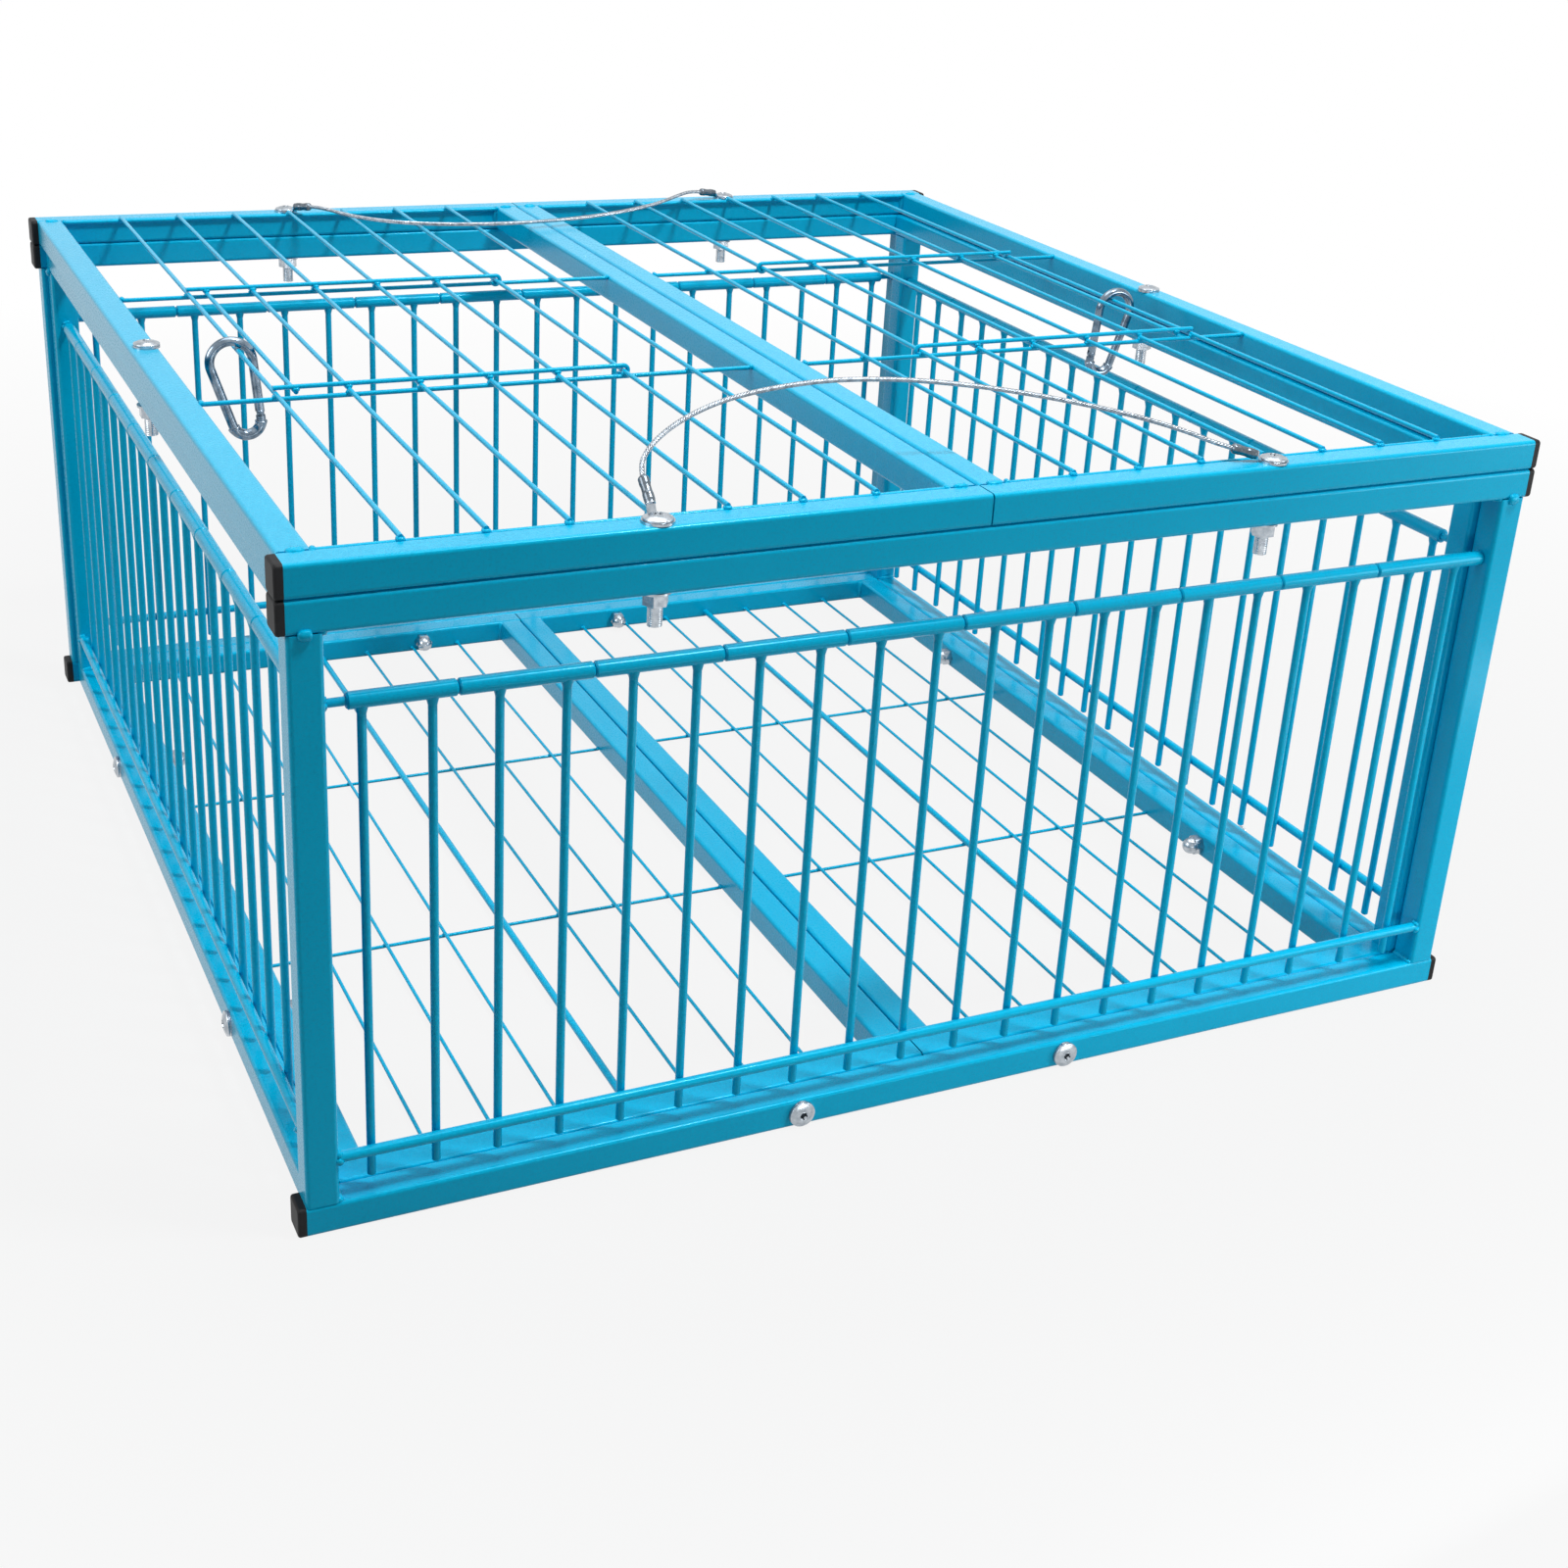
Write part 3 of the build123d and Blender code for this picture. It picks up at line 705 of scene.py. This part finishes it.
class TRAP_OT_welds(bpy.types.Operator):
    """Set weld beads on the panels, the top, the hatches and the base"""

    bl_idname = "trap.welds"
    bl_label = "Set the welds"

    def execute(self, context):
        weld = context.scene.trap_welds
        coat = finish_named("powder_coated_steel_blue")
        rod, corner, wire = weld.rod_bead / MM, weld.corner_bead / MM, weld.wire_bead / MM
        for seed, (side, place) in enumerate(PANEL_PLACES.items(), 1):
            rings, ends = beads(panel_spots(place, rod, corner), seed)
            add_piece(f"{side}_panel_welds", rings, ends, coat, "frame", "blue_coat")
        for seed, (side, half) in enumerate(HALVES.items(), 11):
            rings, ends = beads(top_spots(half, corner, wire), seed)
            add_piece(f"top_frame_{side}_welds", rings, ends, coat, "frame", "blue_coat")
            rings, ends = beads(base_spots(half, corner, BASE_BEAD_SHARE * wire), seed + 10)
            add_piece(f"base_frame_{side}_welds", rings, ends, coat, "frame", "blue_coat")
            rings, ends = beads(hatch_spots(half, wire), seed + 20)
            add_piece(f"hatch_{side}_welds", rings, ends, coat, f"hatch_{side}", "blue_coat")
        return {"FINISHED"}


def thread_surface(x, y, pitch):
    """Rings of one bolt end: a round bar whose radius rises and falls as the thread winds up it.

    The radius is the bar's plus the thread's depth times a triangle wave of height over pitch less turn.
    """
    level = np.arange(THREAD_TOP, THREAD_END, -pitch / 6)
    turn = np.linspace(0, 2 * math.pi, 24, endpoint=False)
    wave = np.abs(2 * ((level[:, None] / pitch - turn / (2 * math.pi)) % 1) - 1)
    radius = THREAD_CORE + THREAD_DEPTH * wave
    rings = np.stack(
        [x + radius * np.cos(turn), y - radius * np.sin(turn), level[:, None] + 0 * radius], -1
    )
    ends = np.array([[x, y, THREAD_TOP], [x, y, THREAD_END - 0.15]])
    return rings, ends


def head_profile():
    """Radius and level of a button head in mm: straight rim, rounded shoulder, cap of a sphere and socket."""
    bow = np.linspace(0, math.pi / 2, 5)
    edge = HEAD_RADIUS - HEAD_SHOULDER
    cap = np.linspace(edge, SOCKET_MOUTH, 7)
    cap_level = HEAD_HEIGHT - HEAD_SPHERE + np.sqrt(HEAD_SPHERE**2 - cap**2)
    shoulder = cap_level[0] - HEAD_SHOULDER + HEAD_SHOULDER * np.sin(bow)
    reach = np.concatenate(
        [[HEAD_RADIUS], edge + HEAD_SHOULDER * np.cos(bow), cap[1:], [SOCKET_HALF, SOCKET_HALF]]
    )
    level = np.concatenate([[0.0], shoulder, cap_level[1:], [SOCKET_TOP, SOCKET_FLOOR]])
    return reach, level


def on_bolts(reach, level):
    """Rings of one profile on every bolt, seated on its washer or lug.

    The radius is the profile's all round, and in the socket a hexagon's: half its flats over the cosine of
    the angle to the nearest flat.
    """
    turn = np.linspace(0, 2 * math.pi, 36, endpoint=False)
    flat = np.cos((turn + math.pi / 6) % (math.pi / 3) - math.pi / 6)
    socket = (reach <= SOCKET_HALF)[:, None]
    radius = np.where(socket, reach[:, None] / flat, reach[:, None] + 0 * flat)
    seats = [((x, y, BOLT_SEAT), (0, 0, 1)) for x, y in TOP_BOLTS] + list(BASE_BOLTS)
    start, up = (np.array([seat[i] for seat in seats], float) for i in range(2))
    side = unit(np.cross(up, (0.6, 0.64, 0.48)))
    over = np.cross(up, side)
    circle = np.cos(turn)[:, None] * side[:, None, None] + np.sin(turn)[:, None] * over[:, None, None]
    rings = start[:, None, None] + radius[..., None] * circle + level[:, None, None] * up[:, None, None]
    ends = np.stack([start, start + level[-1] * up], 1)
    return rings * MM, ends * MM


class TRAP_OT_threads(bpy.types.Operator):
    """Set the button heads and cut the threads that show under the top rails"""

    bl_idname = "trap.threads"
    bl_label = "Set the bolt heads and threads"

    def execute(self, context):
        pitch = context.scene.trap_rope.pitch / MM
        made = [thread_surface(x, y, pitch) for x, y in TOP_BOLTS]
        rings = np.stack([rings for rings, _ in made]) * MM
        ends = np.stack([ends for _, ends in made]) * MM
        zinc = finish_named("zinc_plated_steel")
        add_piece("bolt_threads", rings, ends, zinc, "frame", "zinc_steel")
        add_piece("bolt_heads", *on_bolts(*head_profile()), zinc, "frame", "zinc_steel")
        # Painted shade: a dark hexagon on the floor of each socket darkens the recess as shade would
        socket_shade_finish = bare_steel("grimy_steel_socket", "#3C444C", "#22282E", 0.4, 2 * MM, 0.6 * MM)
        floors = on_bolts(np.array([SOCKET_SHADE_HALF, SOCKET_SHADE_HALF]), np.array(SOCKET_SHADE_LEVELS))
        add_piece("bolt_socket_floors", *floors, socket_shade_finish, "frame", "zinc_steel")
        return {"FINISHED"}


def turned_profile(start, axis, reach, radius, sides=20):
    """Rings of a turned shape: each radius of the profile at its reach along an axis from a start point."""
    axis = unit(np.array(axis, float))
    side = unit(np.cross(axis, (0.31, 0.17, 0.93)))
    over = np.cross(axis, side)
    turn = np.linspace(0, 2 * math.pi, sides, endpoint=False)
    circle = np.cos(turn)[:, None] * side + np.sin(turn)[:, None] * over
    middles = np.array(start) + np.array(reach)[:, None] * axis
    rings = middles[:, None] + np.array(radius)[:, None, None] * circle
    return rings * MM, middles[[0, -1]] * MM


def hook_shoe(half):
    """Rings of a hook's heavy narrow end: a tube along the narrow arc, with a lip at either end.

    The middle runs on the arc's circle. The radius is the shoe's, plus a lip that falls off from both ends
    as a bell curve.
    """
    share = np.linspace(0, 1, 30)
    angle = np.radians(SHOE_ANGLES[0] + share * (SHOE_ANGLES[1] - SHOE_ANGLES[0]))
    out = np.stack([half * np.cos(angle), 0 * angle, np.sin(angle)], -1)
    along = np.stack([half * np.sin(angle), 0 * angle, -np.cos(angle)], -1)
    over = np.cross(along, out)
    x, y, z = HOOK_ARC
    middle = np.array((half * x, y, z)) + HOOK_ARC_RADIUS * out
    turn = np.linspace(0, 2 * math.pi, 20, endpoint=False)
    circle = np.cos(turn)[:, None] * out[:, None] + np.sin(turn)[:, None] * over[:, None]
    lip = SHOE_LIP * np.exp(-((np.minimum(share, 1 - share) / SHOE_LIP_SHARE) ** 2))
    radius = HOOK_RADIUS + SHOE_THICKER + lip
    rings = middle[:, None] + radius[:, None, None] * circle
    return rings[None] * MM, middle[None, [0, -1]] * MM


class TRAP_OT_fittings(bpy.types.Operator):
    """Add the lugs' crimped sleeves, the hooks' heavy ends and the rivet heads of their gates"""

    bl_idname = "trap.fittings"
    bl_label = "Add the small fittings"

    def execute(self, context):
        crimped = bare_steel("crimped_steel_sleeve", "#727B83", "#5A636B", 0.22, 4 * MM, 0.8 * MM)
        # Crimped sleeve: a smooth mouth, then ribs between the bites of the tool
        reach = np.linspace(*CRIMP_ENDS, 70)
        wave = np.sin((reach - CRIMP_FIRST) / CRIMP_SPACING * 2 * math.pi)
        bites = np.clip(wave * CRIMP_STEEP, -1, 1)
        mouth = np.clip((reach - CRIMP_ENDS[1] + CRIMP_MOUTH) / CRIMP_MOUTH, 0, 1)
        radius = CRIMP_RADIUS + CRIMP_BITE * bites - CRIMP_MOUTH_DROP * mouth**2
        radius[0] = CRIMP_START_RADIUS
        made = [turned_profile(start, axis, reach, radius) for start, axis in LUG_BARRELS]
        rings = np.stack([rings for rings, _ in made])
        ends = np.stack([ends for _, ends in made])
        add_piece("lug_crimps", rings, ends, crimped, "frame", "zinc_steel")
        steel = finish_named("tumbled_steel_hook")
        # Rivet head: a low dome that rises from the hook wire's side
        bow = np.linspace(0, math.pi / 2, 7)[:-1]
        for side, half in HALVES.items():
            x, y, z = HOOK_PIN
            rise, wide = RIVET_HEIGHT * np.sin(bow), RIVET_RADIUS * np.cos(bow)
            domes = [
                turned_profile((half * x, y + face * (HOOK_RADIUS - RIVET_SUNK), z), (0, face, 0), rise, wide)
                for face in (-1, 1)
            ]
            rings = np.stack([rings for rings, _ in domes])
            ends = np.stack([ends for _, ends in domes])
            add_piece(f"hook_rivets_{side}", rings, ends, steel, f"hook_gate_{side}", "hook_steel")
            add_piece(f"hook_shoe_{side}", *hook_shoe(half), steel, "frame", "hook_steel")
        return {"FINISHED"}


def seen_rays(tree):
    """Socket that is one or more for rays of the camera, and for those that metal or glass sends on."""
    ray = add_node(tree, "ShaderNodeLightPath").outputs
    direct = add_node(
        tree, "ShaderNodeMath", {0: ray["Is Camera Ray"], 1: ray["Is Glossy Ray"]}, operation="ADD"
    )
    every = add_node(
        tree, "ShaderNodeMath", {0: direct.outputs[0], 1: ray["Is Transmission Ray"]}, operation="ADD"
    )
    return every.outputs[0]


# Pale painted floor: matt, nearly even, with faint roller clouds
def floor_paint(colour):
    material, tree = new_material("pale_floor_paint")
    place = add_node(tree, "ShaderNodeTexCoord").outputs["Object"]
    cloud = add_node(tree, "ShaderNodeTexNoise", {"Vector": place, "Scale": 1 / 0.4, "Detail": 2.0})
    shade = add_node(tree, "ShaderNodeMapRange", {0: cloud.outputs[0], 1: 0.3, 2: 0.7, 3: 0.97, 4: 1.0})
    tone = add_node(
        tree,
        "ShaderNodeMix",
        {0: shade.outputs[0], 6: (0.0, 0.0, 0.0, 1.0), 7: (*colour, 1.0)},
        data_type="RGBA",
    )
    matt = add_node(tree, "ShaderNodeBsdfDiffuse", {"Color": tone.outputs[2]})
    glow = add_node(tree, "ShaderNodeEmission", {"Color": (1.0, 1.0, 1.0, 1.0), "Strength": 1.0})
    seen = seen_rays(tree)
    # White grows from the cage's edge until no shadow is left
    away = add_node(tree, "ShaderNodeVectorMath", {0: place}, operation="LENGTH")
    white = add_node(
        tree,
        "ShaderNodeMapRange",
        {0: away.outputs["Value"], 1: FLOOR_NEAR, 2: FLOOR_FAR, 3: NEAR_WHITE, 4: 1.0},
    )
    share = add_node(
        tree, "ShaderNodeMath", {0: seen, 1: white.outputs[0]}, operation="MULTIPLY", use_clamp=True
    )
    mixed = add_node(
        tree, "ShaderNodeMixShader", {0: share.outputs[0], 1: matt.outputs[0], 2: glow.outputs[0]}
    )
    add_node(tree, "ShaderNodeOutputMaterial", {"Surface": mixed.outputs[0]})
    return material


def softbox(name, place, target, size, power):
    """Area lamp of a width and height at a place, facing a target."""
    lamp = bpy.data.lights.new(name, "AREA")
    lamp.shape = "RECTANGLE"
    lamp.size, lamp.size_y = size
    lamp.energy = power
    holder = bpy.data.objects.new(name, lamp)
    holder.visible_camera = False
    gaze = np.array(target) - np.array(place)
    holder.location = place
    holder.rotation_euler = (
        math.acos(-gaze[2] / np.linalg.norm(gaze)), 0.0, math.atan2(gaze[0], -gaze[1]) + math.pi
    )
    bpy.context.scene.collection.objects.link(holder)


class TRAP_OT_stage(bpy.types.Operator):
    """Set up the floor, the light and the camera"""

    bl_idname = "trap.stage"
    bl_label = "Set the stage"

    def execute(self, context):
        scene = context.scene
        look = scene.trap_stage
        scene.view_settings.view_transform = "Standard"
        row = FLOOR_CELLS + 1
        across = np.linspace(-FLOOR_REACH, FLOOR_REACH, row)
        points = np.stack([*np.meshgrid(across, across), np.zeros((row, row))], -1).reshape(-1, 3)
        corner = (np.arange(FLOOR_CELLS)[:, None] * row + np.arange(FLOOR_CELLS)).ravel()
        faces = np.stack([corner, corner + 1, corner + row + 1, corner + row], -1)
        mesh = bpy.data.meshes.new("floor")
        mesh.from_pydata(points.tolist(), [], faces.tolist())
        mesh.materials.append(floor_paint(look.floor))
        floor = bpy.data.objects.new("floor", mesh)
        scene.collection.objects.link(floor)
        for name, lamp in LAMPS.items():
            softbox(f"{name}_softbox", *lamp, getattr(look, name))
        world = bpy.data.worlds.new("white_surround")
        world.use_nodes = True
        tree = world.node_tree
        tree.nodes.clear()
        level = add_node(
            tree, "ShaderNodeMapRange", {0: seen_rays(tree), 1: 0.0, 2: 1.0, 3: look.sky, 4: 1.0}
        )
        sky = add_node(
            tree, "ShaderNodeBackground", {"Color": (1.0, 1.0, 1.0, 1.0), "Strength": level.outputs[0]}
        )
        add_node(tree, "ShaderNodeOutputWorld", {"Surface": sky.outputs[0]})
        scene.world = world
        lens = bpy.data.cameras.new("photo_camera")
        lens.sensor_width = CAMERA_SENSOR
        lens.lens = CAMERA_LENS
        lens.shift_y = CAMERA_SHIFT
        camera = bpy.data.objects.new("photo_camera", lens)
        camera.location = CAMERA_PLACE
        camera.rotation_euler = [math.radians(turn) for turn in CAMERA_TURN]
        scene.collection.objects.link(camera)
        scene.camera = camera
        return {"FINISHED"}


class TRAP_PT_sidebar(bpy.types.Panel):
    """Sidebar with the sizes, colours and steps of the trap"""

    bl_label = "Pigeon trap"
    bl_idname = "TRAP_PT_sidebar"
    bl_space_type = "VIEW_3D"
    bl_region_type = "UI"
    bl_category = "Trap"

    def draw(self, context):
        for group, step in STEPS:
            box = self.layout.box()
            values = getattr(context.scene, group)
            for name in values.__annotations__:
                box.prop(values, name)
            box.operator(step.bl_idname)


GROUPS = {"trap_coat": TrapCoat, "trap_welds": TrapWelds, "trap_rope": TrapRope, "trap_stage": TrapStage}
STEPS = (
    ("trap_stage", TRAP_OT_stage),
    ("trap_coat", TRAP_OT_coat),
    ("trap_coat", TRAP_OT_hardware),
    ("trap_rope", TRAP_OT_ropes),
    ("trap_welds", TRAP_OT_welds),
    ("trap_rope", TRAP_OT_threads),
    ("trap_rope", TRAP_OT_fittings),
)
CLASSES = (*GROUPS.values(), *(step for _, step in STEPS), TRAP_PT_sidebar)


def register():
    for cls in CLASSES:
        bpy.utils.register_class(cls)
    for name, group in GROUPS.items():
        setattr(bpy.types.Scene, name, bpy.props.PointerProperty(type=group))


def unregister():
    for name in GROUPS:
        delattr(bpy.types.Scene, name)
    for cls in reversed(CLASSES):
        bpy.utils.unregister_class(cls)


def main():
    """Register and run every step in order."""
    register()
    for _, step in STEPS:
        area, name = step.bl_idname.split(".")
        getattr(getattr(bpy.ops, area), name)()
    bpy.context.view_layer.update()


if __name__ == "__main__":
    main()
